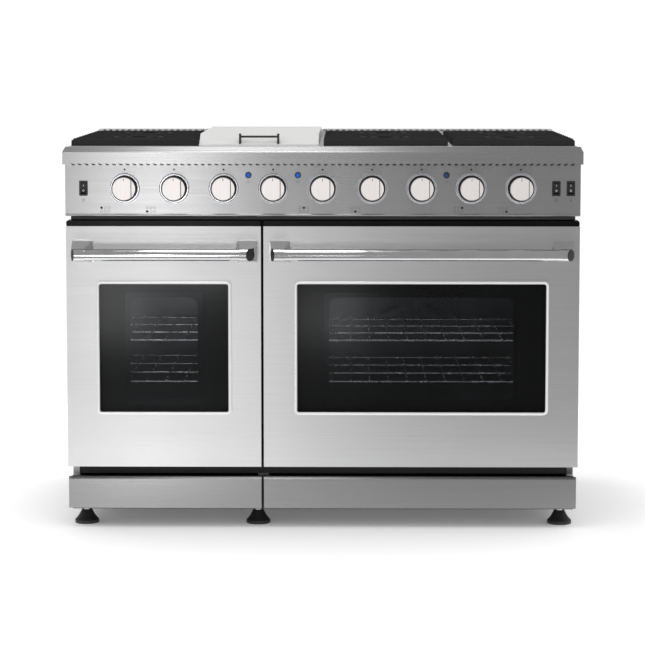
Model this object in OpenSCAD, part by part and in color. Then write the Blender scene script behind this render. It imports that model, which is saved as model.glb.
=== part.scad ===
// Freestanding gas range: two ovens, six burners and a covered griddle.
// Millimetres, +Z up, the front faces -Y, X to the right, origin at the base's centre.

/* [Overall] */
// Width over the bullnose
overall_w = 1216; // [1190:1:1240]
// Depth of the body, bullnose to rear trim
body_d = 702; // [680:1:720]
// How far the handles reach in front of the bullnose
handle_reach = 75; // [60:1:90]
// Height of the cooktop deck
deck_z = 905; // [880:1:930]
// Height of the grate tops above the deck
grate_h = 16; // [12:1:24]

/* [Cabinet] */
// Width over the side panels
cab_w = 1194; // [1170:1:1206]
// Sheet thickness of the side panels
side_t = 1.5; // [1:0.5:3]
// Underside of the base pan
base_z = 42; // [38:1:60]
// X of the gap between the two doors
split_x = -142; // [-200:1:200]
// Depth of the door's rear face behind the bullnose
frame_depth = 62; // [56:1:70]

/* [Ovens] */
// Width of the left oven's cavity
left_oven_w = 340; // [280:1:380]
// Width of the right oven's cavity
right_oven_w = 600; // [500:1:660]
// Floor of the ovens
oven_z0 = 196; // [180:1:230]
// Roof of the ovens
oven_z1 = 640; // [560:1:660]
// Depth of the oven cavities
oven_d = 500; // [420:1:540]
// Height of the lower racks' wire tops
rack_low_z = 346; // [300:1:380]
// Height of the upper racks' wire tops
rack_high_z = 445; // [400:1:520]
// Spacing of the racks' wires
wire_pitch = 45; // [30:1:60]

/* [Doors] */
// Bottom edge of the doors
door_z0 = 147; // [140:1:160]
// Top edge of the steel door fronts
door_z1 = 718; // [690:1:730]
// Width of the left door
left_door_w = 458; // [400:1:520]
// Width of the right door
right_door_w = 742; // [680:1:780]
// Bottom edge of the windows
win_z0 = 278; // [250:1:320]
// Height of the windows
win_h = 304; // [240:1:340]
// Width of the left window
left_win_w = 304; // [240:1:340]
// Width of the right window
right_win_w = 585; // [500:1:620]
// Height of the handle bars' centre line
bar_z = 657; // [640:1:680]
// Radius of the handle bars
bar_r = 14; // [10:0.5:16]

/* [Controls] */
// Spacing of the nine knobs
knob_pitch = 116; // [110:1:120]
// Height of the knobs' centre line
knob_z = 807; // [790:1:820]
// Radius of the knobs' grip
knob_r = 27; // [22:0.5:30]
// How far the knobs stand out of the panel
knob_len = 31; // [24:1:40]
// Radius of the fixed knob stems
stem_r = 5; // [4:0.5:6]
// Radial clearance of a knob on its stem
run_gap = 0.06; // [0.02:0.01:0.1]

/* [Feet] */
// Radius of the foot pads
foot_r = 29; // [24:1:34]
// Radius of the foot screws
foot_screw_r = 8; // [6:0.5:10]

/* [Hidden] */
yf = -(body_d + handle_reach) / 2 + handle_reach;
yr = yf + body_d;
y_panel = yf + 19;
y_door = yf + 15;
y_frame = yf + frame_depth;
y_door_back = y_frame - 2;
sx = cab_w / 2;
hw = overall_w / 2;
left_door_x = -603;
right_door_x = -139;
left_oven_x = -545;
right_oven_x = -76;
left_win_x = -526;
right_win_x = -60;
door_cap_h = 13;
hinge_z = door_z0 + 12;
hinge_y = y_door + 30;
burner_x = [-447, 148, 449];
burner_y = [yf + 205, yf + 485];
well_z = deck_z - 22;
foot_x = [-567, -155, 567];
foot_y = [yf + 85, yf + 640];
hinge_x = [-568, -164, -120, 566];
hinge_r = 4;
fan_x = right_oven_x + right_oven_w / 2;
fan_z = 500;
fan_y = y_frame + 4 + oven_d;
wells = [[-586, -308], [-286, -16], [10, 286], [311, 587]];
lamp_x = [-174, -58, 290];
lamp_z = 838;
lid_low_z = deck_z + 3;
lid_top_z = deck_z + 26.5;
lid_fold_y = yf + 125;
rocker_x = [-561, 547, 581];

/* [Parts] */

// ---- helpers ----
// Block from one corner to the other.
module bx(x0, x1, y0, y1, z0, z1) {
  translate([x0, y0, z0]) cube([x1 - x0, y1 - y0, z1 - z0]);
}

// Rectangle with true round corners, from its lower left corner.
module rrect(w, h, r) {
  translate([r, 0]) square([w - 2 * r, h]);
  translate([0, r]) square([w, h - 2 * r]);
  for (x = [r, w - r]) for (y = [r, h - r]) translate([x, y]) circle(r = r, $fn = 48);
}

// Upright plate: a shape drawn in X and Z, from y0 back to y1.
module upright(y0, y1) {
  translate([0, y1, 0]) rotate([90, 0, 0]) linear_extrude(y1 - y0) children();
}

// Rod along X.
module rod_x(x0, x1, y, z, r) {
  translate([x0, y, z]) rotate([0, 90, 0]) cylinder(h = x1 - x0, r = r, $fn = 48);
}

// Rod along Y.
module rod_y(y0, y1, x, z, r) {
  translate([x, y1, z]) rotate([90, 0, 0]) cylinder(h = y1 - y0, r = r, $fn = 48);
}

// Section drawn in depth (X of the drawing) and height, run along X from x0 to x1.
module section_x(x0, x1) {
  translate([x0, 0, 0]) rotate([90, 0, 90]) linear_extrude(x1 - x0) children();
}

function knob_x(i) = (i - 5) * knob_pitch;

// ---- cabinet ----
// Folded side sheet with a front and a rear flange. s is -1 for left, 1 for right.
module side_panel(s) {
  mirror([s < 0 ? 1 : 0, 0, 0]) {
    bx(sx - side_t, sx, y_frame + 4, yr - 8, base_z + 2, deck_z - 2);
    bx(sx - 16, sx - side_t, y_frame + 4, y_frame + 5.5, base_z + 2, deck_z - 40);
    bx(sx - 16, sx - side_t, yr - 9.5, yr - 8, base_z + 2, deck_z - 40);
    bx(sx - side_t, sx, y_panel + 24, y_frame + 4, 742, deck_z - 2);
  }
}

module left_side_panel() {
  color([0.72, 0.72, 0.73]) side_panel(-1);
}

module right_side_panel() {
  color([0.72, 0.72, 0.73]) side_panel(1);
}

module back_panel() {
  color([0.66, 0.67, 0.68]) difference() {
    bx(-sx, sx, yr - 8, yr - 6.5, base_z + 2, deck_z - 36);
    for (i = [0:13]) for (z = [760, 790])
      bx(-520 + i * 78, -470 + i * 78, yr - 9, yr - 6, z, z + 8);
    rod_y(yr - 9, yr - 6, 420, 90, 15);
  }
}

// Base tray with the sleeves that the foot screws run in.
module base_pan() {
  color([0.12, 0.12, 0.12]) difference() {
    union() {
      bx(-sx + 1.5, sx - 1.5, y_frame - 26, yr - 9.5, base_z, base_z + 2);
      bx(-sx + 1.5, sx - 1.5, y_frame - 26, y_frame - 24.5, base_z + 2, base_z + 80);
      bx(-sx + 17, sx - 17, yr - 9.5, yr - 8, base_z + 2, base_z + 20);
      for (x = [-sx + 1.5, sx - 3]) bx(x, x + 1.5, y_frame + 8, yr - 12, base_z + 2, base_z + 38);
      for (x = foot_x) for (y = foot_y) {
        translate([x, y, base_z + 2]) cylinder(h = 50, r = foot_screw_r + 5, $fn = 48);
        translate([x, y, base_z + 2]) cylinder(h = 4, r = 24, $fn = 48);
      }
    }
    for (x = foot_x) for (y = foot_y)
      translate([x, y, base_z - 1]) cylinder(h = 60, r = foot_screw_r + run_gap, $fn = 48);
  }
}

// Folded double wall between the ovens, open underneath.
module centre_divider() {
  color([0.45, 0.45, 0.46]) difference() {
    bx(split_x - 12, split_x + 12, y_frame + 4, yr - 12, base_z + 2, 730);
    bx(split_x - 10.8, split_x + 10.8, y_frame + 5.2, yr - 13.2, base_z + 1, 728.8);
    for (y = foot_y) bx(foot_x[1] - 30, foot_x[1] + 30, y - 30, y + 30, base_z, base_z + 60);
  }
}

// Black front frame round the two oven mouths, with its vent rail over the doors.
module face_frame() {
  color([0.05, 0.05, 0.05]) difference() {
    union() {
      bx(-sx + 2, sx - 2, y_frame, y_frame + 4, 123, 741);
      bx(-sx + 6, sx - 6, y_door + 6, y_frame, 734, 741);
    }
    bx(left_oven_x, left_oven_x + left_oven_w, y_frame - 1, y_frame + 5, oven_z0, oven_z1);
    bx(right_oven_x, right_oven_x + right_oven_w, y_frame - 1, y_frame + 5, oven_z0, oven_z1);
    for (i = [0:20]) bx(-567 + i * 55, -533 + i * 55, y_door + 10, y_door + 24, 733, 742);
    for (x = hinge_x) bx(x - 5, x + 5, y_frame - 1, y_frame + 5, hinge_z - 14, hinge_z + 14);
  }
}

// Lower steel panel with a sloped top return that narrows at both ends.
module kick_panel(x0, x1) {
  difference() {
    section_x(x0, x1) polygon([[y_door + 3, 47], [y_door + 5, 47], [y_door + 5, 116],
      [y_door + 9, 120], [y_frame - 26, 120], [y_frame - 26, 122], [y_door + 8, 122],
      [y_door + 3, 117]]);
    for (e = [[x0, 1], [x1, -1]]) translate([e[0], 0, 110]) linear_extrude(20)
      polygon([[-e[1], y_door + 7], [-e[1], y_frame - 25], [9 * e[1], y_frame - 25]]);
  }
}

module left_kick_panel() {
  color([0.76, 0.76, 0.77]) {
    kick_panel(-602, split_x - 3);
    bx(-595, -581, y_frame - 3.5, y_frame, 124, 146);
  }
}

module right_kick_panel() {
  color([0.76, 0.76, 0.77]) {
    kick_panel(split_x + 3, 600);
    bx(581, 595, y_frame - 3.5, y_frame, 124, 146);
  }
}

// ---- ovens ----
// Open-fronted enamelled box with pressed rack ledges on both side walls.
module oven_box(x0, w) {
  t = 2;
  y0 = y_frame + 4;
  difference() {
    bx(x0 - t, x0 + w + t, y0, y0 + oven_d + t, oven_z0 - t, oven_z1 + t);
    bx(x0, x0 + w, y0 - 1, y0 + oven_d, oven_z0, oven_z1);
  }
  for (z = [rack_low_z - 11, rack_high_z - 11]) {
    bx(x0, x0 + 14, y0 + 10, y0 + oven_d - 14, z, z + 4);
    bx(x0 + w - 14, x0 + w, y0 + 10, y0 + oven_d - 14, z, z + 4);
  }
}

module left_oven_liner() {
  color([0.10, 0.10, 0.11]) oven_box(left_oven_x, left_oven_w);
}

module right_oven_liner() {
  color([0.10, 0.10, 0.11]) difference() {
    oven_box(right_oven_x, right_oven_w);
    bx(fan_x - 5.5, fan_x + 5.5, y_frame + oven_d, y_frame + oven_d + 10, fan_z - 5.5, fan_z + 5.5);
  }
}

// One wire rack: rails left to right, with n + 1 wires front to back lying on them.
module rack(x0, w, z, yb, n) {
  ya = y_frame + 20;
  for (i = [0:3]) rod_x(x0 + 3, x0 + w - 3, ya + i * (yb - ya) / 3, z - 5, 2);
  for (x = [x0 + 8, x0 + w - 8]) bx(x - 2, x + 2, ya - 1.5, yb + 1.5, z - 7, z - 3);
  for (i = [0:n]) rod_y(ya - 6, yb + 6, x0 + w / 2 + (i - n / 2) * wire_pitch, z - 1.8, 1.6);
}

module left_oven_racks() {
  color([0.75, 0.75, 0.76]) {
    rack(left_oven_x, left_oven_w, rack_low_z, y_frame + oven_d - 14, 6);
    rack(left_oven_x, left_oven_w, rack_high_z, y_frame + oven_d - 14, 6);
  }
}

module right_oven_racks() {
  color([0.75, 0.75, 0.76]) {
    rack(right_oven_x, right_oven_w, rack_low_z, fan_y - 54, 11);
    rack(right_oven_x, right_oven_w, rack_high_z, fan_y - 54, 11);
  }
}

// Burner tubes on the oven floors, on two saddles each.
module bake_burners() {
  color([0.55, 0.55, 0.56]) {
    for (x = [left_oven_x + 90, left_oven_x + left_oven_w - 90]) {
      rod_y(y_frame + 60, y_frame + oven_d - 30, x, oven_z0 + 16, 8);
      for (y = [y_frame + 100, y_frame + oven_d - 70])
        bx(x - 6, x + 6, y - 2, y + 2, oven_z0, oven_z0 + 9);
    }
    for (x = [right_oven_x + 150, right_oven_x + right_oven_w - 150]) {
      rod_y(y_frame + 60, y_frame + oven_d - 30, x, oven_z0 + 16, 8);
      for (y = [y_frame + 100, y_frame + oven_d - 70])
        bx(x - 6, x + 6, y - 2, y + 2, oven_z0, oven_z0 + 9);
    }
  }
}

// Round louvred cover on the right oven's rear wall, and the motor behind the wall.
module fan_cover() {
  color([0.35, 0.35, 0.36]) {
    difference() {
      rod_y(fan_y - 42, fan_y, fan_x, fan_z, 110);
      rod_y(fan_y - 40, fan_y + 1, fan_x, fan_z, 108);
      for (i = [0:11]) rotate_about_fan(i * 30) bx(-4, 4, fan_y - 43, fan_y - 39, 40, 95);
    }
    difference() {
      rod_y(fan_y + 2, fan_y + 52, fan_x, fan_z, 42);
      rod_y(fan_y + 1, fan_y + 40, fan_x, fan_z, 4 + run_gap);
    }
  }
}

module rotate_about_fan(a) {
  translate([fan_x, 0, fan_z]) rotate([0, a, 0]) children();
}

// Six-bladed fan on its motor shaft.
module convection_fan() {
  color([0.62, 0.63, 0.64]) {
    rod_y(fan_y - 30, fan_y + 38, fan_x, fan_z, 4);
    rod_y(fan_y - 34, fan_y - 12, fan_x, fan_z, 14);
    for (i = [0:5]) rotate_about_fan(i * 60) translate([12, fan_y - 23, 0]) rotate([25, 0, 0])
      bx(0, 76, -0.8, 0.8, -13, 13);
  }
}

// ---- cooktop ----
// Deck with three burner wells and one griddle well.
module cooktop_pan() {
  color([0.55, 0.55, 0.56]) difference() {
    union() {
      bx(-sx, sx, yf + 27, yr - 62, deck_z - 2, deck_z - 0.5);
      for (b = wells) bx(b[0], b[1], yf + 72, yf + 618, well_z - 2, deck_z - 2);
    }
    for (b = wells) bx(b[0] + 2, b[1] - 2, yf + 74, yf + 616, well_z, deck_z + 1);
    for (x = burner_x) for (y = burner_y)
      translate([x, y, well_z - 5]) cylinder(h = 10, r = 20, $fn = 48);
  }
}

// Folded front edge of the cooktop, with vent slots in its lower lip and closed ends.
module bullnose() {
  color([0.70, 0.70, 0.71]) difference() {
    union() {
      section_x(-hw, hw) polygon([[yf, deck_z - 41], [yf + 20, deck_z - 41],
        [yf + 20, deck_z - 39], [yf + 2, deck_z - 39], [yf + 2, deck_z - 13],
        [yf + 25, deck_z - 2.4], [yf + 27, deck_z - 2.4], [yf + 27, deck_z - 0.5],
        [yf + 24.5, deck_z - 0.5], [yf + 1, deck_z - 11], [yf, deck_z - 12.5]]);
      for (x = [-hw, hw - 7]) section_x(x, x + 7) polygon([[yf, deck_z - 41],
        [yf + 27, deck_z - 41], [yf + 27, deck_z - 0.5], [yf + 24.5, deck_z - 0.5],
        [yf + 1, deck_z - 11], [yf, deck_z - 12.5]]);
    }
    for (i = [0:73]) bx(-588 + i * 16, -580.5 + i * 16, yf - 1, yf + 16, deck_z - 42, deck_z - 38.6);
    for (s = [-1, 1]) upright(yf - 1, yf + 30)
      polygon([[s * hw, deck_z - 12], [s * (hw + 2), deck_z - 12], [s * (hw + 2), deck_z + 1],
        [s * (hw - 5.5), deck_z + 1]]);
  }
}

// Raised rear vent trim with a row of slots along its front edge.
module rear_trim() {
  color([0.68, 0.68, 0.69]) difference() {
    bx(-592, 592, yr - 62, yr, deck_z - 36, deck_z + 19);
    bx(-590, 590, yr - 60, yr - 2, deck_z - 38, deck_z + 17);
    for (i = [0:72]) bx(-580 + i * 16, -572 + i * 16, yr - 63, yr - 40, deck_z + 14.5, deck_z + 20);
    for (x = [-500, 500]) rod_y(yr - 3, yr + 1, x, deck_z - 12, 3.2);
  }
}

// ---- controls ----
// Front panel with bent ends, a rolled lower edge and holes for stems, lamps and switches.
module control_panel() {
  color([0.62, 0.62, 0.63]) difference() {
    union() {
      bx(-604, 604, y_panel, y_panel + 2, 742.5, deck_z - 41);
      for (x = [-604, 602]) bx(x, x + 2, y_panel + 2, y_panel + 30, 746, deck_z - 41);
      bx(-602, 602, y_panel + 2, y_panel + 24, 742.5, 744.5);
      rod_x(-604, 604, y_panel + 1, 744.5, 3);
    }
    for (i = [1:9]) rod_y(y_panel - 1, y_panel + 3, knob_x(i), knob_z, 9);
    for (i = [0:73]) bx(-588 + i * 16, -580.5 + i * 16, y_panel - 1, y_panel + 4, deck_z - 44, deck_z - 40);
    for (x = lamp_x) rod_y(y_panel - 3, y_panel + 3, x, lamp_z, 5.5);
    for (x = rocker_x) bx(x - 7.5, x + 7.5, y_panel - 1, y_panel + 3, knob_z - 15, knob_z + 15);
  }
}

module knob_bezels() {
  color([0.85, 0.85, 0.86]) for (i = [1:9]) difference() {
    translate([knob_x(i), y_panel, knob_z]) rotate([90, 0, 0]) {
      cylinder(h = 1.5, r = 36.5, $fn = 96);
      translate([0, 0, 1.5]) cylinder(h = 4.5, r1 = 36, r2 = 33, $fn = 96);
    }
    rod_y(y_panel - 7, y_panel - 1, knob_x(i), knob_z, 31.5);
    rod_y(y_panel - 7, y_panel + 1, knob_x(i), knob_z, 9);
  }
}

module indicator_lamps() {
  color([0.10, 0.35, 0.80]) for (x = lamp_x) {
    rod_y(y_panel - 2.5, y_panel, x, lamp_z, 7.5);
    rod_y(y_panel - 4.5, y_panel - 2.5, x, lamp_z, 5.8);
    rod_y(y_panel, y_panel + 18, x, lamp_z, 5.5);
  }
}

// Switch frames clipped in the panel, with a pivot rod through each.
module switch_housings() {
  color([0.03, 0.03, 0.03]) for (x = rocker_x) {
    difference() {
      union() {
        upright(y_panel - 2, y_panel) translate([x - 10, knob_z - 17.5]) rrect(20, 35, 2);
        bx(x - 7.5, x + 7.5, y_panel, y_panel + 22, knob_z - 15, knob_z + 15);
      }
      bx(x - 6.2, x + 6.2, y_panel - 3, y_panel + 16, knob_z - 13.5, knob_z + 13.5);
    }
    rod_x(x - 6.2, x + 6.2, y_panel + 6, knob_z, 1.5);
  }
}

// Supply rail behind the panel with nine valves and their stems.
module gas_manifold() {
  color([0.72, 0.62, 0.35]) {
    rod_x(-560, 560, y_panel + 62, knob_z - 4, 11);
    for (i = [1:9]) {
      rod_y(y_panel + 22, y_panel + 52, knob_x(i), knob_z, 13);
      rod_y(y_panel - knob_len + 6, y_panel + 22, knob_x(i), knob_z, stem_r);
    }
    for (x = [-520, 522]) {
      bx(x - 10, x + 10, y_panel + 70, y_panel + 74, knob_z - 30, knob_z + 30);
      bx(x - 10, x + 10, y_panel + 74, y_panel + 76, knob_z - 30, well_z - 2);
    }
  }
}

// Supply pipe with its male inlet through the back panel.
module gas_inlet() {
  color([0.72, 0.62, 0.35]) {
    rod_y(yr - 40, yr - 1, 420, 90, 10.65);
    rod_y(yr - 44, yr - 14, 420, 90, 14);
    bx(414, 426, yr - 40, yr - 36, base_z + 2, 78);
  }
}

// ---- burners and griddle ----
module burner_bases() {
  color([0.60, 0.60, 0.61]) for (x = burner_x) for (y = burner_y) difference() {
    union() {
      translate([x, y, well_z]) cylinder(h = 4, r = 48, $fn = 96);
      translate([x, y, well_z - 30]) cylinder(h = 30, r = 19.5, $fn = 48);
    }
    translate([x, y, well_z - 31]) cylinder(h = 36, r = 14, $fn = 48);
  }
}

// Ported burner rings.
module burner_heads() {
  color([0.70, 0.70, 0.71]) for (x = burner_x) for (y = burner_y) difference() {
    translate([x, y, well_z + 4]) cylinder(h = 9, r = 40, $fn = 96);
    translate([x, y, well_z + 3]) cylinder(h = 11, r = 30, $fn = 96);
    for (i = [0:11]) translate([x, y, well_z + 8]) rotate([0, 0, i * 30])
      bx(28, 42, -1.5, 1.5, 0, 3.5);
  }
}

module burner_caps() {
  color([0.06, 0.06, 0.06]) for (x = burner_x) for (y = burner_y)
    translate([x, y, well_z + 13]) {
      cylinder(h = 4, r = 37, $fn = 96);
      translate([0, 0, -4]) cylinder(h = 4, r = 29.5, $fn = 96);
    }
}

// Thick griddle plate with raised edges, on two bars in its well.
module griddle_plate() {
  color([0.30, 0.30, 0.31]) {
    difference() {
      bx(-281, -21, yf + 80, yf + 608, deck_z - 16, deck_z - 1);
      bx(-275, -27, yf + 112, yf + 602, deck_z - 10, deck_z);
      bx(-275, -27, yf + 86, yf + 106, deck_z - 13, deck_z);
    }
    for (x = [-260, -60]) bx(x, x + 20, yf + 90, yf + 600, well_z, deck_z - 16);
  }
}

// Folded lid over the griddle: sloped front, flat top and shallow sides.
module griddle_cover() {
  color([0.86, 0.86, 0.87]) difference() {
    section_x(-292, -10) polygon([[yf + 65, deck_z - 0.5], [yf + 65, lid_low_z],
      [lid_fold_y, lid_top_z], [yf + 636, lid_top_z], [yf + 636, deck_z - 0.5]]);
    section_x(-290.5, -11.5) polygon([[yf + 66.5, deck_z - 1], [yf + 66.5, lid_low_z - 1.2],
      [lid_fold_y, lid_top_z - 1.7], [yf + 634.5, lid_top_z - 1.7], [yf + 634.5, deck_z - 1]]);
  }
}

// Two uprights and a rod, on the lid's slope.
module griddle_cover_handle() {
  color([0.05, 0.05, 0.05]) {
    for (x = [-198, -108]) difference() {
      bx(x, x + 5, yf + 68, yf + 86, lid_low_z, lid_top_z + 1.5);
      section_x(x - 1, x + 6) polygon([[yf + 65, deck_z - 10], [yf + 65, lid_low_z],
        [lid_fold_y, lid_top_z], [lid_fold_y, deck_z - 10]]);
    }
    rod_x(-193, -108, yf + 76, deck_z + 21, 2.6);
  }
}

// Cast grate: outer frame, cross bars with raised ends, and fingers over two burners.
module grate(x0, x1, bx_c) {
  ya = yf + 65;
  yb = yf + 625;
  z0 = deck_z - 0.5;
  n = 9;
  difference() {
    bx(x0, x1, ya, yb, z0, z0 + grate_h - 3.5);
    bx(x0 + 10, x1 - 10, ya + 11, yb - 11, z0 - 1, z0 + 20);
  }
  difference() {
    bx(x0, x1, ya, ya + 11, z0 + grate_h - 3.5, z0 + grate_h);
    translate([x0, ya, z0 + 20]) rotate([0, 45, 0]) cube([12, 30, 12], center = true);
    translate([x1, ya, z0 + 20]) rotate([0, 45, 0]) cube([12, 30, 12], center = true);
  }
  difference() {
    union() {
      for (i = [1:n]) {
        y = ya + i * (yb - ya) / (n + 1);
        bx(x0, x1, y - 6, y + 6, z0 + grate_h - 9, z0 + grate_h);
      }
      bx(x0, x1, yb - 11, yb, z0 + grate_h - 9, z0 + grate_h);
    }
    for (y = burner_y) translate([bx_c, y, z0 - 5]) cylinder(h = 40, r = 50, $fn = 96);
  }
  for (y = burner_y) {
    difference() {
      translate([bx_c, y, z0 + 2]) cylinder(h = grate_h - 2, r = 60, $fn = 96);
      translate([bx_c, y, z0 + 1]) cylinder(h = grate_h, r = 50, $fn = 96);
    }
    for (a = [45, 135, 225, 315]) translate([bx_c, y, z0 + grate_h - 9]) rotate([0, 0, a])
      bx(24, 52, -4.5, 4.5, 0, 9);
  }
}

module left_grate() {
  color([0.09, 0.09, 0.09]) grate(-594, -293, -447);
}

module middle_grate() {
  color([0.09, 0.09, 0.09]) grate(2, 295, 148);
}

module right_grate() {
  color([0.09, 0.09, 0.09]) grate(307, 594, 449);
}

// ---- knobs and rockers ----
// Knob: dark skirt, round grip, and a raised face that stops at a straight edge on one side.
module knob(i) {
  translate([knob_x(i), y_panel - 1.4, knob_z]) rotate([90, 0, 0]) difference() {
    union() {
      cylinder(h = 8, r = 30.5, $fn = 96);
      translate([0, 0, 8]) cylinder(h = knob_len - 11, r = knob_r, $fn = 96);
      translate([0, 0, knob_len - 3]) intersection() {
        cylinder(h = 3, r1 = knob_r, r2 = knob_r - 1.5, $fn = 96);
        translate([-40, -40, -1]) cube([56.5, 80, 6]);
      }
    }
    translate([0, 0, -1]) cylinder(h = knob_len - 6 + 0.6, r = stem_r + run_gap, $fn = 48);
    translate([16.5, -40, knob_len - 4.6]) cube([1.6, 80, 3]);
  }
}

module knob_1() { color([0.85, 0.83, 0.82]) knob(1); }
module knob_2() { color([0.85, 0.83, 0.82]) knob(2); }
module knob_3() { color([0.85, 0.83, 0.82]) knob(3); }
module knob_4() { color([0.85, 0.83, 0.82]) knob(4); }
module knob_5() { color([0.85, 0.83, 0.82]) knob(5); }
module knob_6() { color([0.85, 0.83, 0.82]) knob(6); }
module knob_7() { color([0.85, 0.83, 0.82]) knob(7); }
module knob_8() { color([0.85, 0.83, 0.82]) knob(8); }
module knob_9() { color([0.85, 0.83, 0.82]) knob(9); }

// Rocker: a face of two flats that meet at the middle, tipped so its lower half stands out.
module rocker(x) {
  translate([x, y_panel + 6, knob_z]) rotate([-6, 0, 0]) difference() {
    section_x(-5.8, 5.8) polygon([[-10, -11], [-7.5, 0], [-10, 11], [-3, 11], [4, 5], [4, -5],
      [-3, -11]]);
    rod_x(-7, 7, 0, 0, 1.5 + run_gap);
  }
}

module rocker_left() { color([0.04, 0.04, 0.04]) rocker(rocker_x[0]); }
module rocker_light() { color([0.04, 0.04, 0.04]) rocker(rocker_x[1]); }
module rocker_fan() { color([0.04, 0.04, 0.04]) rocker(rocker_x[2]); }

// ---- doors ----
// Folded steel front with a window opening, side returns and a black-capped top.
module door_panel(x0, w, wx, ww) {
  difference() {
    union() {
      bx(x0, x0 + w, y_door, y_door + 2, door_z0, door_z1);
      for (x = [x0, x0 + w - 1.5]) bx(x, x + 1.5, y_door + 2, y_door + 26, door_z0 + 8, door_z1);
      bx(x0 + 1.5, x0 + w - 1.5, y_door + 2, y_door + 26, door_z1 - 1.5, door_z1);
      translate([wx - 4, 0, 0]) upright(y_door - 2.5, y_door)
        translate([-4, win_z0 - 8]) rrect(ww + 16, win_h + 16, 12);
    }
    upright(y_door - 4, y_door + 3) translate([wx, win_z0]) rrect(ww, win_h, 5);
  }
}

module left_door_panel() {
  color([0.80, 0.80, 0.81]) door_panel(left_door_x, left_door_w, left_win_x, left_win_w);
}

module right_door_panel() {
  color([0.74, 0.74, 0.75]) door_panel(right_door_x, right_door_w, right_win_x, right_win_w);
}

// Outer pane behind the opening, and the inner pane on the liner.
module door_glass(wx, ww, vx, vw) {
  bx(wx - 10, wx + ww + 10, y_door + 2, y_door + 6, win_z0 - 10, win_z0 + win_h + 10);
  bx(vx - 12, vx + vw + 12, y_door_back - 10, y_door_back - 6, 301 - 12, 546 + 12);
}

module left_door_glass() {
  color([0.04, 0.04, 0.05, 0.5]) door_glass(left_win_x, left_win_w, -457, 160);
}

module right_door_glass() {
  color([0.04, 0.04, 0.05, 0.5]) door_glass(right_win_x, right_win_w, 15, 437);
}

// Inner door: black tray with the view opening, the top cap and two hinge ears at each hinge.
module door_liner(x0, w, vx, vw, hx) {
  difference() {
    union() {
      bx(x0 + 1.5, x0 + w - 1.5, y_door_back - 6, y_door_back, door_z0 + 6, door_z1);
      bx(x0 + 1.5, x0 + w - 1.5, y_door + 26, y_door_back - 6, door_z1 - 8, door_z1);
      bx(x0 + 1.5, x0 + w - 1.5, y_door + 2, y_door_back - 6, door_z0 + 6, door_z0 + 8);
      for (x = [x0, x0 + w - 1.5]) bx(x, x + 1.5, y_door + 26, y_door_back, door_z0 + 6, door_z1);
      for (x = hx) bx(x - 10, x + 10, hinge_y - 10, y_door_back - 6, door_z0 + 6, hinge_z + 14);
      upright(y_door + 3, y_door_back) translate([x0 + 0.5, door_z1])
        rrect(w - 1, door_cap_h, 4);
    }
    upright(y_door_back - 12, y_door_back + 1) translate([vx, 301]) rrect(vw, 245, 20);
    for (x = hx) {
      bx(x - 4, x + 4, hinge_y - 11, y_door_back + 1, door_z0 + 5, hinge_z + 11);
      rod_x(x - 11, x + 11, hinge_y, hinge_z, hinge_r + run_gap);
    }
  }
}

module left_door_liner() {
  color([0.05, 0.05, 0.05])
    door_liner(left_door_x, left_door_w, -457, 160, [hinge_x[0], hinge_x[1]]);
}

module right_door_liner() {
  color([0.05, 0.05, 0.05])
    door_liner(right_door_x, right_door_w, 15, 437, [hinge_x[2], hinge_x[3]]);
}

// Bar with a collar and a slanted end face at each end, carried by two posts that flare
// towards the door.
module door_handle(xc, half) {
  yb = yf + 15 - handle_reach;
  difference() {
    handle_body(xc, half, yb);
    for (s = [-1, 1]) {
      xe = xc + s * half;
      c = s < 0 ? 10 : 19;
      translate([0, 0, bar_z - 20]) linear_extrude(40) polygon([[xe - s * c, yb - bar_r - 2],
        [xe + s * 6, yb - bar_r - 2], [xe + s * 6, yb + bar_r], [xe, yb + bar_r]]);
    }
  }
}

module handle_body(xc, half, yb) {
  rod_x(xc - half, xc + half, yb, bar_z, bar_r);
  for (s = [-1, 1]) {
    xe = xc + s * half;
    translate([s > 0 ? xe - 33 : xe, yb, bar_z]) rotate([0, 90, 0])
      cylinder(h = 33, r = bar_r + 1, $fn = 96);
    intersection() {
      section_x(xe - 60, xe + 60) polygon([[y_door - 2, bar_z - 23], [y_door - 2, bar_z + 26],
        [yb + 3, bar_z + bar_r], [yb, bar_z], [yb + 3, bar_z - bar_r]]);
      translate([0, 0, bar_z - 40]) linear_extrude(80) polygon([[xe - s * 2, yb - 1],
        [xe + s * 4, y_door - 1], [xe - s * 44, y_door - 1], [xe - s * 29, yb - 1]]);
    }
    upright(y_door - 2, y_door) polygon([[xe + s * 4, bar_z - 23], [xe + s * 4, bar_z + 22],
      [xe, bar_z + 26], [xe - s * 31, bar_z + 26], [xe - s * 45, bar_z + 12],
      [xe - s * 45, bar_z - 23]]);
  }
}

module left_door_handle() {
  color([0.88, 0.88, 0.89]) door_handle(-371, 213);
}

module right_door_handle() {
  color([0.88, 0.88, 0.89]) door_handle(232, 352);
}

// Cabinet side of the hinges: a bracket behind the frame, an arm through it, and a round pin.
module door_hinges() {
  color([0.5, 0.5, 0.51]) for (x = hinge_x) {
    bx(x - 9, x + 9, y_frame + 4, y_frame + 34, hinge_z - 28, hinge_z + 24);
    bx(x - 3.4, x + 3.4, hinge_y, y_frame + 4, hinge_z - 8, hinge_z + 8);
    rod_x(x - 3.4, x + 3.4, hinge_y, hinge_z, 8);
    rod_x(x - 9, x + 9, hinge_y, hinge_z, hinge_r);
  }
}

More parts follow.
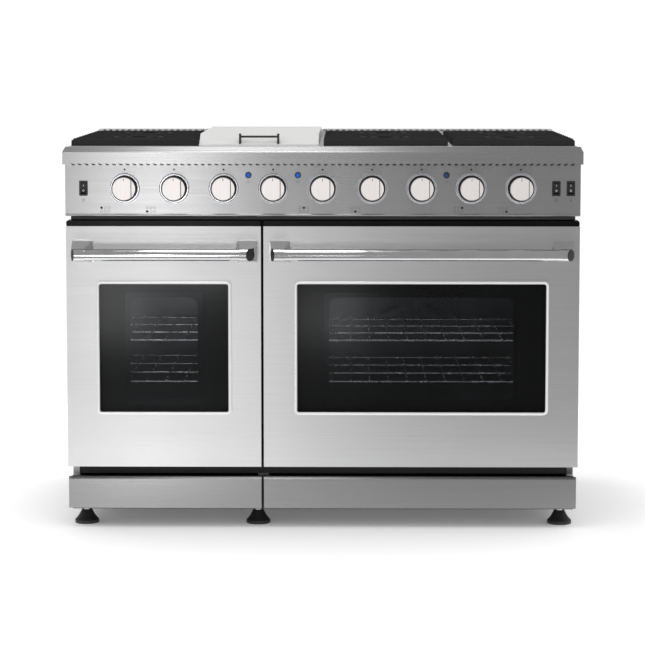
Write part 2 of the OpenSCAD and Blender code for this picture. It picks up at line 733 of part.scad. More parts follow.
// ---- feet ----
module foot(x, y) {
  translate([x, y, 0]) {
    cylinder(h = 7, r = foot_r, $fn = 96);
    translate([0, 0, 7]) cylinder(h = 10, r1 = foot_r - 1, r2 = 20, $fn = 96);
    translate([0, 0, 17]) cylinder(h = 15, r1 = 20, r2 = 12, $fn = 96);
    translate([0, 0, 32]) cylinder(h = 7, r = 11, $fn = 6);
    translate([0, 0, 39]) cylinder(h = 49, r = foot_screw_r, $fn = 48);
  }
}

module foot_front_left() { color([0.06, 0.06, 0.06]) foot(foot_x[0], foot_y[0]); }
module foot_front_middle() { color([0.06, 0.06, 0.06]) foot(foot_x[1], foot_y[0]); }
module foot_front_right() { color([0.06, 0.06, 0.06]) foot(foot_x[2], foot_y[0]); }
module foot_rear_left() { color([0.06, 0.06, 0.06]) foot(foot_x[0], foot_y[1]); }
module foot_rear_middle() { color([0.06, 0.06, 0.06]) foot(foot_x[1], foot_y[1]); }
module foot_rear_right() { color([0.06, 0.06, 0.06]) foot(foot_x[2], foot_y[1]); }

// ---- assembly ----
left_side_panel();
right_side_panel();
back_panel();
base_pan();
centre_divider();
face_frame();
left_kick_panel();
right_kick_panel();
left_oven_liner();
right_oven_liner();
left_oven_racks();
right_oven_racks();
bake_burners();
fan_cover();
convection_fan();
cooktop_pan();
bullnose();
rear_trim();
control_panel();
knob_bezels();
indicator_lamps();
switch_housings();
gas_manifold();
gas_inlet();
burner_bases();
burner_heads();
burner_caps();
griddle_plate();
griddle_cover();
griddle_cover_handle();
left_grate();
middle_grate();
right_grate();
knob_1();
knob_2();
knob_3();
knob_4();
knob_5();
knob_6();
knob_7();
knob_8();
knob_9();
rocker_left();
rocker_light();
rocker_fan();
left_door_panel();
left_door_glass();
left_door_liner();
left_door_handle();
right_door_panel();
right_door_glass();
right_door_liner();
right_door_handle();
door_hinges();
foot_front_left();
foot_front_middle();
foot_front_right();
foot_rear_left();
foot_rear_middle();
foot_rear_right();
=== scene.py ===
import math

import bmesh
import bpy
from mathutils import Matrix, Vector


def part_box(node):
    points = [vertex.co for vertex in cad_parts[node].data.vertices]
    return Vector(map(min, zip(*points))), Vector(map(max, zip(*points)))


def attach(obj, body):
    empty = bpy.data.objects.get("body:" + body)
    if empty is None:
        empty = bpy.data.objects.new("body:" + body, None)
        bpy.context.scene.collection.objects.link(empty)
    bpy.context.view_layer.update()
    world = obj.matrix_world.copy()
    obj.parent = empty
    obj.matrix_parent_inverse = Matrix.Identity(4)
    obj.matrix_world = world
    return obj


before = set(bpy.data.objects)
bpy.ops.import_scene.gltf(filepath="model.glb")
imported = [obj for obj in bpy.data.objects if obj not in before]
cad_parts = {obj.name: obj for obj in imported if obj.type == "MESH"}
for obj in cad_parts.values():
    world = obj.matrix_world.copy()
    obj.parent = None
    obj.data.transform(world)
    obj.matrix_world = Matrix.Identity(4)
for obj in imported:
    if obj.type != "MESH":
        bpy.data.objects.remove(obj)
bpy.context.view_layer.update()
scene = bpy.context.scene
SIDES = ("left", "right")
FULL_TURN = 2 * math.pi

# ---------------------------------------------------------------- places on the panel, from the frame


def middle(node):
    lo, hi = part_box(node)
    return (lo + hi) / 2


PANEL_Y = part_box("knob_bezels")[1].y
KNOB_X = [middle("knob_%d" % k).x for k in range(1, 10)]
KNOB_Z = middle("knob_bezels").z
KNOB_PITCH = (KNOB_X[8] - KNOB_X[0]) / 8
ROCKER_X = {name: middle(name).x for name in ("rocker_left", "rocker_light", "rocker_fan")}

LAMP_R = 0.0075
LAMP_PITCH = 0.116
lamp_lo, lamp_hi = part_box("indicator_lamps")
LAMP_Z = middle("indicator_lamps").z
LAMP_X = [lamp_lo.x + LAMP_R, lamp_lo.x + LAMP_R + LAMP_PITCH, lamp_hi.x - LAMP_R]

# ---------------------------------------------------------------- shader helpers


def material(name):
    m = bpy.data.materials.new(name)
    m.use_nodes = True
    nt = m.node_tree
    bsdf = next(n for n in nt.nodes if n.type == "BSDF_PRINCIPLED")
    return m, nt, bsdf


def put(socket, value):
    socket.default_value = value


def coords(nt, scale=(1.0, 1.0, 1.0)):
    tc = nt.nodes.new("ShaderNodeTexCoord")
    mp = nt.nodes.new("ShaderNodeMapping")
    put(mp.inputs["Scale"], scale)
    nt.links.new(tc.outputs["Object"], mp.inputs["Vector"])
    return mp.outputs["Vector"]


def separate(nt):
    """The object's X, Y and Z as separate outputs."""
    tc = nt.nodes.new("ShaderNodeTexCoord")
    sep = nt.nodes.new("ShaderNodeSeparateXYZ")
    nt.links.new(tc.outputs["Object"], sep.inputs[0])
    return sep.outputs


def noise(nt, vector, scale, detail=3.0, rough=0.5):
    n = nt.nodes.new("ShaderNodeTexNoise")
    put(n.inputs["Scale"], scale)
    put(n.inputs["Detail"], detail)
    put(n.inputs["Roughness"], rough)
    nt.links.new(vector, n.inputs["Vector"])
    return n.outputs["Fac"]


def ramp(nt, value, a=0.0, b=1.0, lo=0.3, hi=0.7):
    """value lo..hi becomes a..b. A noise lies mostly between 0.3 and 0.7."""
    r = nt.nodes.new("ShaderNodeMapRange")
    put(r.inputs["From Min"], lo)
    put(r.inputs["From Max"], hi)
    put(r.inputs["To Min"], a)
    put(r.inputs["To Max"], b)
    nt.links.new(value, r.inputs["Value"])
    return r.outputs["Result"]


def mix_colour(nt, fac, a, b):
    m = nt.nodes.new("ShaderNodeMix")
    m.data_type = "RGBA"
    for i, v in ((6, a), (7, b)):
        if isinstance(v, (tuple, list)):
            put(m.inputs[i], (*v, 1.0))
        else:
            nt.links.new(v, m.inputs[i])
    nt.links.new(fac, m.inputs[0])
    return m.outputs[2]


def calc(nt, kind, *values):
    """One math node, from numbers or outputs."""
    n = nt.nodes.new("ShaderNodeMath")
    n.operation = kind
    for i, v in enumerate(values):
        if isinstance(v, (int, float)):
            put(n.inputs[i], v)
        else:
            nt.links.new(v, n.inputs[i])
    return n.outputs[0]


def bump(nt, height, bsdf, strength, distance):
    b = nt.nodes.new("ShaderNodeBump")
    put(b.inputs["Strength"], strength)
    put(b.inputs["Distance"], distance)
    nt.links.new(height, b.inputs["Height"])
    nt.links.new(b.outputs["Normal"], bsdf.inputs["Normal"])


def scaled(colour, k):
    return tuple(min(1.0, c * k) for c in colour)


# ---------------------------------------------------------------- kinds of surface


def brushed(name, light, dark, rough, grain=(2.0, 500.0, 500.0), aniso=0.6, along=(1, 0, 0),
            metallic=1.0, level=0.5):
    """Brushed steel: streaks along the grain in colour, roughness and bump."""
    m, nt, b = material(name)
    streak = noise(nt, coords(nt, grain), 1.0, 4.0, 0.6)
    cloud = noise(nt, coords(nt), 3.0, 2.0)
    nt.links.new(mix_colour(nt, ramp(nt, streak), dark, light), b.inputs["Base Color"])
    put(b.inputs["Metallic"], metallic)
    put(b.inputs["Specular IOR Level"], level)
    uneven = calc(nt, "ADD", ramp(nt, streak, rough - 0.03, rough + 0.03), ramp(nt, cloud, -0.015, 0.015))
    nt.links.new(uneven, b.inputs["Roughness"])
    if aniso:
        geo = nt.nodes.new("ShaderNodeNewGeometry")
        cross = nt.nodes.new("ShaderNodeVectorMath")
        cross.operation = "CROSS_PRODUCT"
        put(cross.inputs[1], along)
        nt.links.new(geo.outputs["Normal"], cross.inputs[0])
        nt.links.new(cross.outputs[0], b.inputs["Tangent"])
        put(b.inputs["Anisotropic"], aniso)
    bump(nt, streak, b, 0.06, 0.0004)
    return m


def coated(name, colour, rough, peel=0.08, scale=900.0, spread=0.15, metallic=0.0, coat=0.0, level=0.5):
    """Enamel, plastic or paint: a fine peel, a slow colour drift and uneven roughness."""
    m, nt, b = material(name)
    vec = coords(nt)
    fine = noise(nt, vec, scale, 2.0)
    slow = noise(nt, vec, 14.0, 3.0)
    drift = mix_colour(nt, ramp(nt, slow), scaled(colour, 1 - spread), scaled(colour, 1 + spread))
    nt.links.new(drift, b.inputs["Base Color"])
    nt.links.new(ramp(nt, slow, rough * 0.88, rough * 1.12), b.inputs["Roughness"])
    put(b.inputs["Metallic"], metallic)
    put(b.inputs["Coat Weight"], coat)
    put(b.inputs["Specular IOR Level"], level)
    put(b.inputs["Coat Roughness"], 0.08)
    bump(nt, fine, b, peel, 0.0003)
    return m


def polished(name, colour, rough, metallic=1.0):
    """Plated metal with a faint haze."""
    m, nt, b = material(name)
    vec = coords(nt)
    slow = noise(nt, vec, 30.0, 3.0)
    fine = noise(nt, vec, 1400.0, 2.0)
    nt.links.new(mix_colour(nt, ramp(nt, slow), scaled(colour, 0.95), colour), b.inputs["Base Color"])
    put(b.inputs["Metallic"], metallic)
    nt.links.new(ramp(nt, slow, rough * 0.8, rough * 1.3), b.inputs["Roughness"])
    bump(nt, fine, b, 0.004, 0.0001)
    return m


def cast(name, colour, rough):
    """Cast iron under matt enamel: pebbled surface."""
    m, nt, b = material(name)
    vec = coords(nt)
    grit = noise(nt, vec, 700.0, 4.0, 0.7)
    slow = noise(nt, vec, 25.0, 2.0)
    pebbles = mix_colour(nt, ramp(nt, grit, lo=0.35), colour, scaled(colour, 1.5))
    nt.links.new(pebbles, b.inputs["Base Color"])
    nt.links.new(ramp(nt, slow, rough - 0.07, rough + 0.07), b.inputs["Roughness"])
    bump(nt, grit, b, 0.35, 0.0006)
    return m


def knob_material():
    """Satin metal grip in a black ring: the knob's black base, and the outer rim of the metal face painted
    black as shade round the grip.
    """
    skirt_and_shade_radius = 0.0268
    m, nt, b = material("knob_metal")
    place = separate(nt)
    # distance from the axis of the nearest knob: the knobs repeat along X at one height
    shifted = calc(nt, "ADD", place["X"], 20.5 * KNOB_PITCH - KNOB_X[4])
    dx = calc(nt, "SUBTRACT", calc(nt, "MODULO", shifted, KNOB_PITCH), KNOB_PITCH / 2)
    dz = calc(nt, "SUBTRACT", place["Z"], KNOB_Z)
    squares = calc(nt, "ADD", calc(nt, "MULTIPLY", dx, dx), calc(nt, "MULTIPLY", dz, dz))
    # black past this radius: the real black base and, on the face's rim, painted shade
    skirt_and_shade_ring = calc(nt, "GREATER_THAN", calc(nt, "SQRT", squares), skirt_and_shade_radius)
    fine = noise(nt, coords(nt, (300.0, 300.0, 6.0)), 1.0, 3.0)
    face = mix_colour(nt, ramp(nt, fine), (0.87, 0.82, 0.80), (0.93, 0.885, 0.865))
    nt.links.new(mix_colour(nt, skirt_and_shade_ring, face, (0.012, 0.012, 0.012)), b.inputs["Base Color"])
    nt.links.new(ramp(nt, skirt_and_shade_ring, 0.45, 0.0, 0.0, 1.0), b.inputs["Metallic"])
    nt.links.new(ramp(nt, skirt_and_shade_ring, 0.34, 0.3, 0.0, 1.0), b.inputs["Roughness"])
    bump(nt, fine, b, 0.05, 0.0002)
    return m


def foot_material():
    """Black pad under a bright nut and screw."""
    nut_z = 0.0322
    m, nt, b = material("foot")
    bright = calc(nt, "GREATER_THAN", separate(nt)["Z"], nut_z)
    fine = noise(nt, coords(nt), 900.0, 2.0)
    pad = mix_colour(nt, ramp(nt, fine), (0.012, 0.012, 0.012), (0.022, 0.022, 0.022))
    nt.links.new(mix_colour(nt, bright, pad, (0.72, 0.72, 0.73)), b.inputs["Base Color"])
    nt.links.new(bright, b.inputs["Metallic"])
    nt.links.new(ramp(nt, bright, 0.36, 0.2, 0.0, 1.0), b.inputs["Roughness"])
    bump(nt, fine, b, 0.08, 0.0003)
    return m


def glass_material():
    """Dark window glass: mostly see-through head on, with a clear reflection."""
    m, nt, _ = material("window_glass")
    nt.nodes.clear()
    out = nt.nodes.new("ShaderNodeOutputMaterial")
    mix = nt.nodes.new("ShaderNodeMixShader")
    clear = nt.nodes.new("ShaderNodeBsdfTransparent")
    gloss = nt.nodes.new("ShaderNodeBsdfGlossy")
    fresnel = nt.nodes.new("ShaderNodeFresnel")
    put(fresnel.inputs["IOR"], 1.20)
    slow = noise(nt, coords(nt), 5.0, 2.0)
    tint = mix_colour(nt, ramp(nt, slow), (0.82, 0.83, 0.84), (0.87, 0.88, 0.89))
    nt.links.new(tint, clear.inputs["Color"])
    put(gloss.inputs["Roughness"], 0.12)
    put(gloss.inputs["Color"], (1, 1, 1, 1))
    nt.links.new(fresnel.outputs[0], mix.inputs[0])
    nt.links.new(clear.outputs[0], mix.inputs[1])
    nt.links.new(gloss.outputs[0], mix.inputs[2])
    nt.links.new(mix.outputs[0], out.inputs["Surface"])
    return m


def lamp_material(name, colour, glow):
    m, nt, b = material(name)
    slow = noise(nt, coords(nt), 300.0, 2.0)
    nt.links.new(mix_colour(nt, slow, scaled(colour, 0.8), colour), b.inputs["Base Color"])
    put(b.inputs["Roughness"], 0.12)
    put(b.inputs["Emission Color"], (*colour, 1.0))
    put(b.inputs["Emission Strength"], glow)
    put(b.inputs["Coat Weight"], 0.5)
    return m


# ---------------------------------------------------------------- materials

steel_door = brushed("steel_door", (0.80, 0.80, 0.80), (0.74, 0.74, 0.745), 0.36)
# painted shade: the panel steel is a darker copy of the door steel, for how dark the panel falls under the
# lights
steel_panel_painted_shade = brushed("steel_panel_painted_shade", (0.62, 0.62, 0.62), (0.59, 0.59, 0.593), 0.30, aniso=0.9)
# painted shade: the kick steel is a much darker copy of the door steel, for the dark reflection the kick
# shows
steel_kick_painted_shade = brushed("steel_kick_painted_shade", (0.36, 0.36, 0.36), (0.33, 0.33, 0.33), 0.30, aniso=0.85)
# painted highlight: a near-white, less metallic copy of the door steel for the window lips
steel_lip_painted_highlight = brushed("steel_lip_painted_highlight", (0.96, 0.96, 0.96), (0.92, 0.92, 0.92), 0.30, metallic=0.4)
# painted shade: the bullnose trim steel is a darker copy of the door steel, for how dark the bullnose falls
# under the lights
steel_trim_painted_shade = brushed("steel_trim_painted_shade", (0.60, 0.60, 0.60), (0.575, 0.575, 0.575), 0.28, aniso=0.9)
steel_side = brushed("steel_side", (0.58, 0.58, 0.59), (0.50, 0.50, 0.51), 0.42,
                     grain=(500.0, 2.0, 500.0), aniso=0.4, along=(0, 1, 0))
steel_cover = brushed("steel_cover", (0.90, 0.90, 0.89), (0.87, 0.87, 0.865), 0.24,
                      aniso=0.0, metallic=0.5, level=0.0)
steel_deck = brushed("steel_deck", (0.76, 0.76, 0.76), (0.70, 0.70, 0.70), 0.34, metallic=0.8)
griddle = brushed("griddle_plate", (0.34, 0.34, 0.35), (0.25, 0.25, 0.26), 0.34)
galvanised = coated("galvanised", (0.50, 0.51, 0.52), 0.45, peel=0.05, scale=60.0, spread=0.12,
                    metallic=0.9)
chassis = coated("chassis", (0.018, 0.018, 0.019), 0.55, peel=0.12)
enamel = coated("oven_enamel", (0.035, 0.035, 0.038), 0.22, peel=0.06, scale=500.0, spread=0.3, coat=0.4)
gloss_black = coated("door_black", (0.004, 0.004, 0.0044), 0.22, peel=0.04, scale=500.0, spread=0.2,
                     level=0.1)
plastic_black = coated("plastic_black", (0.016, 0.016, 0.017), 0.34, peel=0.15, scale=1200.0)
tube_metal = coated("tube_metal", (0.34, 0.34, 0.35), 0.45, peel=0.15, scale=300.0, spread=0.2,
                    metallic=0.8)
aluminium = coated("cast_aluminium", (0.62, 0.62, 0.63), 0.42, peel=0.25, scale=600.0, spread=0.1,
                   metallic=0.9)
brass = coated("brass", (0.62, 0.46, 0.19), 0.34, peel=0.1, scale=400.0, metallic=1.0)
plug_metal = coated("plug_metal", (0.06, 0.06, 0.065), 0.35, peel=0.05, scale=500.0, metallic=0.6)
ink_and_shade = coated("ink_and_shade", (0.012, 0.012, 0.013), 0.5, peel=0.05)
pale_ink = coated("pale_ink", (0.09, 0.09, 0.095), 0.5, peel=0.05)
white_ink = coated("white_ink", (0.55, 0.56, 0.58), 0.45, peel=0.05)
gasket_weave = coated("gasket", (0.03, 0.03, 0.032), 0.9, peel=0.6, scale=1500.0, spread=0.3)
ceramic = coated("ceramic", (0.75, 0.74, 0.70), 0.4)
chrome = polished("chrome", (0.86, 0.86, 0.87), 0.09)
bezel_chrome = polished("bezel_chrome", (0.78, 0.79, 0.83), 0.16, metallic=0.6)
# painted shade: the rack wire is a darker copy of the chrome, for the dim inside of the ovens
wire_chrome_painted_shade = polished("wire_chrome_painted_shade", (0.62, 0.62, 0.63), 0.24)
iron = cast("grate_iron", (0.012, 0.012, 0.0125), 0.6)
cap_iron = cast("cap_iron", (0.022, 0.022, 0.022), 0.5)
knob_metal = knob_material()
foot_finish = foot_material()
glass = glass_material()
lamp_lit = lamp_material("lamp_lit", (0.005, 0.10, 0.52), 0.22)
lamp_off = lamp_material("lamp_off", (0.012, 0.05, 0.13), 0.0)

# ---------------------------------------------------------------- finishes of the CAD nodes


def both_sides(table):
    """The same entry for the left and the right part of each kind."""
    return {side + "_" + part: value for side in SIDES for part, value in table.items()}


LOOKS = {
    "back_panel": galvanised, "base_pan": chassis, "centre_divider": galvanised,
    "face_frame": chassis, "bake_burners": tube_metal, "fan_cover": enamel,
    "convection_fan": tube_metal, "cooktop_pan": steel_deck, "bullnose": steel_trim_painted_shade,
    "rear_trim": steel_cover, "control_panel": steel_panel_painted_shade, "knob_bezels": bezel_chrome,
    "indicator_lamps": plug_metal, "switch_housings": plastic_black, "gas_manifold": brass,
    "gas_inlet": brass, "burner_bases": aluminium, "burner_heads": aluminium,
    "burner_caps": cap_iron, "griddle_plate": griddle, "griddle_cover": steel_cover,
    "griddle_cover_handle": plastic_black, "middle_grate": iron, "door_hinges": tube_metal,
    "rocker_left": plastic_black, "rocker_light": plastic_black, "rocker_fan": plastic_black,
}
LOOKS.update(both_sides({
    "side_panel": steel_side, "kick_panel": steel_kick_painted_shade, "oven_liner": enamel,
    "oven_racks": wire_chrome_painted_shade, "grate": iron, "door_panel": steel_door, "door_glass": glass,
    "door_liner": gloss_black, "door_handle": chrome,
}))

DEFAULT_EDGE = 0.0006
KNOB_EDGE = 0.0009
EDGES = {
    "middle_grate": 0.0018, "bullnose": 0.0011, "control_panel": 0.0006, "griddle_cover": 0.0012,
    "knob_bezels": 0.0009, "rear_trim": 0.0010, "griddle_cover_handle": 0.0007,
    "burner_caps": 0.0012, "switch_housings": 0.0005, "back_panel": 0.0,
}
EDGES.update(both_sides({
    "grate": 0.0018, "door_panel": 0.0007, "kick_panel": 0.0007, "door_handle": 0.0012,
    "door_glass": 0.0, "door_liner": 0.0008,
}))


def soften(obj, width):
    """Rounds a CAD node's edges for the eye only: flat decimate, bevel and weighted normals."""
    flat = obj.modifiers.new("flat", "DECIMATE")
    flat.decimate_type = "DISSOLVE"
    flat.angle_limit = math.radians(0.6)
    bev = obj.modifiers.new("edge", "BEVEL")
    bev.width = width
    bev.segments = 2
    bev.limit_method = "ANGLE"
    bev.angle_limit = math.radians(32)
    bev.use_clamp_overlap = True
    bev.harden_normals = False
    wn = obj.modifiers.new("shade", "WEIGHTED_NORMAL")
    wn.keep_sharp = True
    wn.weight = 80


def dress(name, obj):
    """Gives a CAD node its material and its rounded edges."""
    is_knob = name.startswith("knob")
    look = LOOKS.get(name, knob_metal if is_knob else foot_finish)
    obj.data.materials.clear()
    obj.data.materials.append(look)
    width = EDGES.get(name, KNOB_EDGE if is_knob else DEFAULT_EDGE)
    if width:
        soften(obj, width)


for node_name, node_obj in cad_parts.items():
    dress(node_name, node_obj)

# ---------------------------------------------------------------- mesh helpers


def add(name, bm, mat, body, smooth=False):
    mesh = bpy.data.meshes.new(name)
    bmesh.ops.recalc_face_normals(bm, faces=bm.faces)
    bm.to_mesh(mesh)
    bm.free()
    obj = bpy.data.objects.new(name, mesh)
    scene.collection.objects.link(obj)
    mesh.materials.append(mat)
    if smooth:
        for p in mesh.polygons:
            p.use_smooth = True
    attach(obj, body)


def skin(bm, rings, closed=False):
    """Joins rings of vertices with quads. An open skin gets a face at each end."""
    following = rings[1:] + rings[:1] if closed else rings[1:]
    for a, b in zip(rings, following):
        for i in range(len(a)):
            j = (i + 1) % len(a)
            bm.faces.new((a[i], a[j], b[j], b[i]))
    if not closed:
        bm.faces.new(rings[0])
        bm.faces.new(rings[-1])


def polar(x, z, r, t):
    """The point at radius r and angle t from (x, z)."""
    return x + r * math.cos(t), z + r * math.sin(t)


def turned(bm, profile, centre, axis="y", steps=48):
    """Adds a turned shape: profile is (radius, along) pairs from the axis out and back."""
    rings = []
    for r, a in profile:
        ring = []
        for i in range(steps):
            u, v = polar(0.0, 0.0, r, FULL_TURN * i / steps)
            p = (u, a, v) if axis == "y" else (u, v, a)
            ring.append(bm.verts.new(Vector(p) + Vector(centre)))
        rings.append(ring)
    skin(bm, rings)


def flat_shape(bm, points, y, thick=0.00012):
    """A thin raised print in the plane of the panel, from points in X and Z."""
    front = [bm.verts.new((x, y - thick, z)) for x, z in points]
    back = [bm.verts.new((x, y + 0.00005, z)) for x, z in points]
    bm.faces.new(front)
    n = len(points)
    for i in range(n):
        j = (i + 1) % n
        bm.faces.new((front[i], back[i], back[j], front[j]))


def disc(bm, x, z, r, y, steps=24):
    flat_shape(bm, [polar(x, z, r, FULL_TURN * i / steps) for i in range(steps)], y)


def ring_mark(bm, x, z, r0, r1, y, steps=24, start=0.0, turn=FULL_TURN):
    for i in range(steps):
        a, b = start + turn * i / steps, start + turn * (i + 1) / steps
        flat_shape(bm, [polar(x, z, r, t) for r, t in ((r0, a), (r1, a), (r1, b), (r0, b))], y)


def bar(bm, x0, z0, x1, z1, w, y):
    d = Vector((x1 - x0, z1 - z0)).normalized() * (w / 2)
    ends = [(x0 - d.y, z0 + d.x), (x0 + d.y, z0 - d.x), (x1 + d.y, z1 - d.x), (x1 - d.y, z1 + d.x)]
    flat_shape(bm, ends, y)


def tube_loop(bm, x0, x1, z0, z1, r, y, corner, sides=8, per=8):
    """A closed tube of radius r round a rectangle with rounded corners, in the plane of the doors."""
    points = []
    corners = ((x1 - corner, z1 - corner), (x0 + corner, z1 - corner),
               (x0 + corner, z0 + corner), (x1 - corner, z0 + corner))
    for quarter, (cx, cz) in enumerate(corners):
        for i in range(per + 1):
            px, pz = polar(cx, cz, corner, math.radians(90 * quarter + 90 * i / per))
            points.append(Vector((px, y, pz)))
    rings = []
    u = Vector((0, 1, 0))
    for i, p in enumerate(points):
        v = (points[(i + 1) % len(points)] - points[i - 1]).normalized().cross(u)
        turns = [FULL_TURN * k / sides for k in range(sides)]
        rings.append([bm.verts.new(p + r * (math.cos(t) * u + math.sin(t) * v)) for t in turns])
    skin(bm, rings, closed=True)


# ---------------------------------------------------------------- printed marks on the panel

# knob number, from 0: how far its burner sign is from its middle, and the burner's column and row
BURNER_SIGNS = {0: (-0.046, (0, 1)), 1: (-0.055, (0, 0)), 4: (-0.044, (1, 1)),
                5: (-0.039, (1, 0)), 7: (-0.030, (2, 1)), 8: (-0.042, (2, 0))}
SIGN_STEP = 0.0088


def burner_sign(dark, pale, x, z, burner):
    """Three by two small rings, with a dot in place of this knob's burner."""
    for column in range(3):
        for row in range(2):
            px, pz = x + (column - 1) * SIGN_STEP, z + (row - 0.5) * SIGN_STEP
            if (column, row) == burner:
                disc(dark, px, pz, 0.0030, PANEL_Y)
            else:
                ring_mark(pale, px, pz, 0.0024, 0.0030, PANEL_Y, 20)


def heat_sign(bm, x):
    """Three short slanted strokes under a lamp."""
    low, high, lean = LAMP_Z - 0.0185, LAMP_Z - 0.0135, 0.0008
    for stroke_x in (x - 0.0035, x, x + 0.0035):
        bar(bm, stroke_x - lean, low, stroke_x + lean, high, 0.0007, PANEL_Y)


def fan_sign(bm, x, z):
    for k in range(4):
        t = k * math.pi / 2 + 0.4
        ring_mark(bm, *polar(x, z, 0.0022, t), 0.0016, 0.0021, PANEL_Y, 10, t - 0.6, math.pi)
    disc(bm, x, z, 0.0007, PANEL_Y, 12)


def sun_sign(bm, x, z):
    ring_mark(bm, x, z, 0.0019, 0.0025, PANEL_Y, 16)
    for k in range(8):
        t = k * math.pi / 4
        bar(bm, *polar(x, z, 0.0033, t), *polar(x, z, 0.0047, t), 0.0006, PANEL_Y)


def panel_marks():
    dark = bmesh.new()
    pale = bmesh.new()
    for i, x in enumerate(KNOB_X):
        disc(dark, x, KNOB_Z + 0.044, 0.0022, PANEL_Y)
        if i in BURNER_SIGNS:
            offset, burner = BURNER_SIGNS[i]
            burner_sign(dark, pale, x + offset, KNOB_Z - 0.050, burner)
    for x in LAMP_X:
        heat_sign(pale, x)
    for name, x in ROCKER_X.items():
        sign = fan_sign if name == "rocker_fan" else sun_sign
        sign(dark, x, KNOB_Z - 0.028)
    add("panel_marks", dark, ink_and_shade, "cabinet")
    add("panel_marks_pale", pale, pale_ink, "cabinet")


def rocker_marks():
    """The usual on and off signs, laid on the two faces of each tipped rocker."""
    rest_tilt = Matrix.Rotation(math.radians(-6), 4, "X")
    pivot_y = PANEL_Y + 0.006
    # each face is a shallow V: its middle is face_y in front of the pivot, and its ends stand out more
    face_y, rise = 0.0075, 0.0025 / 0.011
    for name, x in ROCKER_X.items():
        bm = bmesh.new()
        bar(bm, x, KNOB_Z + 0.0035, x, KNOB_Z + 0.0080, 0.0009, 0.0)
        ring_mark(bm, x, KNOB_Z - 0.0060, 0.0015, 0.0023, 0.0, 18)
        for v in bm.verts:
            up = v.co.z - KNOB_Z
            p = rest_tilt @ Vector((v.co.x - x, v.co.y - face_y - abs(up) * rise, up))
            v.co = Vector((x, pivot_y, KNOB_Z)) + p
        add(name + "_marks", bm, white_ink, name + "_body")


def lamp_lenses():
    """Shallow domes in the lamp bezels. The last lamp is off."""
    dome = [(0.0054, 0.0006), (0.0052, -0.0004), (0.0046, -0.0014),
            (0.0034, -0.0022), (0.0018, -0.0027), (0.0003, -0.0028)]
    for k, x in enumerate(LAMP_X):
        bm = bmesh.new()
        turned(bm, dome, (x, lamp_lo.y, LAMP_Z))
        look = lamp_off if k == 2 else lamp_lit
        add("lamp_lens_%d" % (k + 1), bm, look, "cabinet", True)


def knob_marks_and_step_shade():
    """A mark at the top of each knob, and a painted shade line: a dark strip over the groove where its face
    steps down.
    """
    step_x, step_half, step_depth = 0.0173, 0.0192, 0.0029
    for i, x in enumerate(KNOB_X):
        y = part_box("knob_%d" % (i + 1))[0].y
        bm = bmesh.new()
        bar(bm, x, KNOB_Z + 0.0185, x, KNOB_Z + 0.0240, 0.0013, y)
        # painted shade: a dark strip standing for the shadow in the step's groove
        bar(bm, x + step_x, KNOB_Z - step_half, x + step_x, KNOB_Z + step_half, 0.0014, y + step_depth)
        add("knob_mark_%d" % (i + 1), bm, ink_and_shade, "knob_%d_body" % (i + 1))


# ---------------------------------------------------------------- pieces on the doors and the deck

COLLAR_R = 0.015
BAR_R = 0.014


def slanted_cap(x, y, z, outward, cut):
    """A low cap on a bar's slanted end. The bar is shorter at its front than at its back by about cut."""
    steps = 40
    bm = bmesh.new()
    rings = []
    for r, out in ((0.0142, -0.0006), (0.0140, 0.0004), (0.0118, 0.0010), (0.0070, 0.0014), (0.0006, 0.0015)):
        ring = []
        for i in range(steps):
            py, pz = polar(y, z, r, FULL_TURN * i / steps)
            slant = cut * (y + BAR_R - py) / (2 * COLLAR_R)
            ring.append(bm.verts.new((x + outward * (out - slant), py, pz)))
        rings.append(ring)
    skin(bm, rings)
    return bm


def handle_plugs():
    """Dark caps on the handle bars' ends. The right ends are cut at a wider slant."""
    for side in SIDES:
        lo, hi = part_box(side + "_door_handle")
        y, z = lo.y + COLLAR_R, lo.z + 0.023
        for k, (x, outward, cut) in enumerate(((lo.x + 0.004, -1, 0.010), (hi.x - 0.004, 1, 0.019))):
            add("%s_handle_plug_%d" % (side, k + 1), slanted_cap(x, y, z, outward, cut),
                plug_metal, side + "_door", True)


def igniters():
    """A ceramic stick with a wire tip beside each burner."""
    head_r, reach = 0.040, 0.0455
    stick = [(0.0006, 0.0002), (0.0024, 0.0002), (0.0024, 0.0080), (0.0018, 0.0092), (0.0006, 0.0094)]
    wire = [(0.0003, 0.0090), (0.0006, 0.0092), (0.0006, 0.0118), (0.0003, 0.0120)]
    lo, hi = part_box("burner_heads")
    middle_column_x = 0.148
    sticks = bmesh.new()
    tips = bmesh.new()
    for x in (lo.x + head_r, middle_column_x, hi.x - head_r):
        for y in (lo.y + head_r, hi.y - head_r):
            place = (x + reach, y, lo.z)
            turned(sticks, stick, place, "z", 16)
            turned(tips, wire, place, "z", 10)
    add("igniters", sticks, ceramic, "cabinet", True)
    add("igniter_tips", tips, tube_metal, "cabinet", True)


def gaskets():
    """A woven gasket round each oven mouth, on the back of the door."""
    r, clear = 0.0009, 0.004
    for side in SIDES:
        lo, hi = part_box(side + "_oven_liner")
        back_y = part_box(side + "_door_liner")[1].y
        bm = bmesh.new()
        tube_loop(bm, lo.x - clear, hi.x + clear, lo.z - clear, hi.z + clear, r, back_y + r, 0.02)
        add(side + "_gasket", bm, gasket_weave, side + "_door", True)


def window_lips():
    """A rolled lip round each window, in steel painted near white as its highlight. The glass goes further
    than the window on every side.
    """
    r, hidden_glass, out = 0.0032, 0.010, 0.0036
    inset = hidden_glass - out
    for side in SIDES:
        lo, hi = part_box(side + "_door_glass")
        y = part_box(side + "_door_panel")[0].y + 0.0007
        bm = bmesh.new()
        tube_loop(bm, lo.x + inset, hi.x - inset, lo.z + inset, hi.z - inset, r, y, 0.0090, sides=12)
        add(side + "_window_lip", bm, steel_lip_painted_highlight, side + "_door", True)


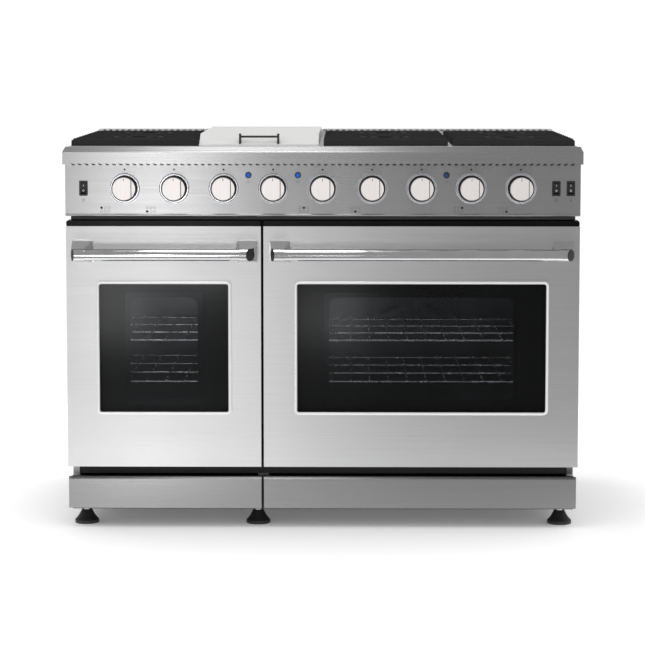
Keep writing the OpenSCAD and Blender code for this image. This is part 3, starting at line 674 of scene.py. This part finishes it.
panel_marks()
rocker_marks()
lamp_lenses()
knob_marks_and_step_shade()
handle_plugs()
igniters()
gaskets()
window_lips()

# ---------------------------------------------------------------- camera, floor, world and lights


def camera():
    data = bpy.data.cameras.new("camera")
    cam = bpy.data.objects.new("camera", data)
    scene.collection.objects.link(cam)
    scene.camera = cam
    data.lens = 127.6
    data.sensor_width = 36.0
    data.shift_y = -0.10
    data.clip_end = 60.0
    cam.location = (0.0576, -5.6434, 1.131)
    cam.rotation_euler = (math.radians(90 - 5.21), 0.0, math.radians(0.62))


def floor_material():
    m, _, b = material("floor_white")
    put(b.inputs["Base Color"], (0.95, 0.95, 0.95, 1))
    put(b.inputs["Roughness"], 0.9)
    put(b.inputs["Emission Color"], (1, 1, 1, 1))
    put(b.inputs["Emission Strength"], 0.13)
    return m


def floor_part(name, mat, front_y, back_y):
    half_width, z = 1.7, -0.0006
    corners = ((-half_width, front_y), (half_width, front_y), (half_width, back_y), (-half_width, back_y))
    bm = bmesh.new()
    bm.faces.new([bm.verts.new((x, y, z)) for x, y in corners])
    mesh = bpy.data.meshes.new(name)
    bm.to_mesh(mesh)
    bm.free()
    mesh.materials.append(mat)
    part = bpy.data.objects.new(name, mesh)
    scene.collection.objects.link(part)
    return part


def floor():
    """A white floor. Its front part takes shadows but lets the low light through."""
    white = floor_material()
    front_y, seam_y, back_y = -2.6, -0.75, 1.6
    floor_part("floor", white, seam_y, back_y)
    front = floor_part("floor_front", white, front_y, seam_y)
    front.visible_shadow = False
    front.visible_glossy = False
    front.visible_diffuse = False


def room():
    """A white surround, which reflections see dimmer so that the metal keeps its contrast."""
    world = bpy.data.worlds.new("world")
    scene.world = world
    world.use_nodes = True
    nt = world.node_tree
    background = next(n for n in nt.nodes if n.type == "BACKGROUND")
    path = nt.nodes.new("ShaderNodeLightPath")
    strength = ramp(nt, path.outputs["Is Glossy Ray"], 1.05, 0.30, 0.0, 1.0)
    put(background.inputs["Color"], (1, 1, 1, 1))
    nt.links.new(strength, background.inputs["Strength"])
    scene.view_settings.view_transform = "Standard"


def area(name, place, target, size, power):
    data = bpy.data.lights.new(name, "AREA")
    data.shape = "RECTANGLE"
    data.size, data.size_y = size
    data.energy = power
    lamp = bpy.data.objects.new(name, data)
    scene.collection.objects.link(lamp)
    lamp.location = place
    lamp.rotation_euler = (Vector(target) - Vector(place)).to_track_quat("-Z", "Y").to_euler()


camera()
floor()
room()
area("key_doors", (-0.84, -5.4, 0.25), (-0.3, 0.0, 0.6), (0.78, 0.4), 6.0)
area("key_panel", (-0.80, -5.4, 1.1), (-0.3, 0.0, 0.8), (0.16, 1.3), 2.3)
area("key_low", (-0.85, -5.4, -1.25), (-0.3, 0.0, 0.2), (0.6, 1.2), 6.3)
area("glint_left", (-1.02, -5.4, -0.08), (-0.4, 0.0, 0.5), (0.30, 0.20), 1.3)
area("glint_right", (-0.04, -5.4, -0.08), (0.0, 0.0, 0.5), (0.30, 0.20), 1.0)
area("top", (-0.30, -0.3, 4.2), (-0.30, 0.0, 0.0), (0.8, 3.0), 34)
area("oven_left", (-0.377, -0.225, 0.615), (-0.377, -0.10, 0.30), (0.28, 0.03), 0.22)
area("oven_right", (0.2335, -0.225, 0.615), (0.2335, -0.10, 0.30), (0.50, 0.03), 0.25)
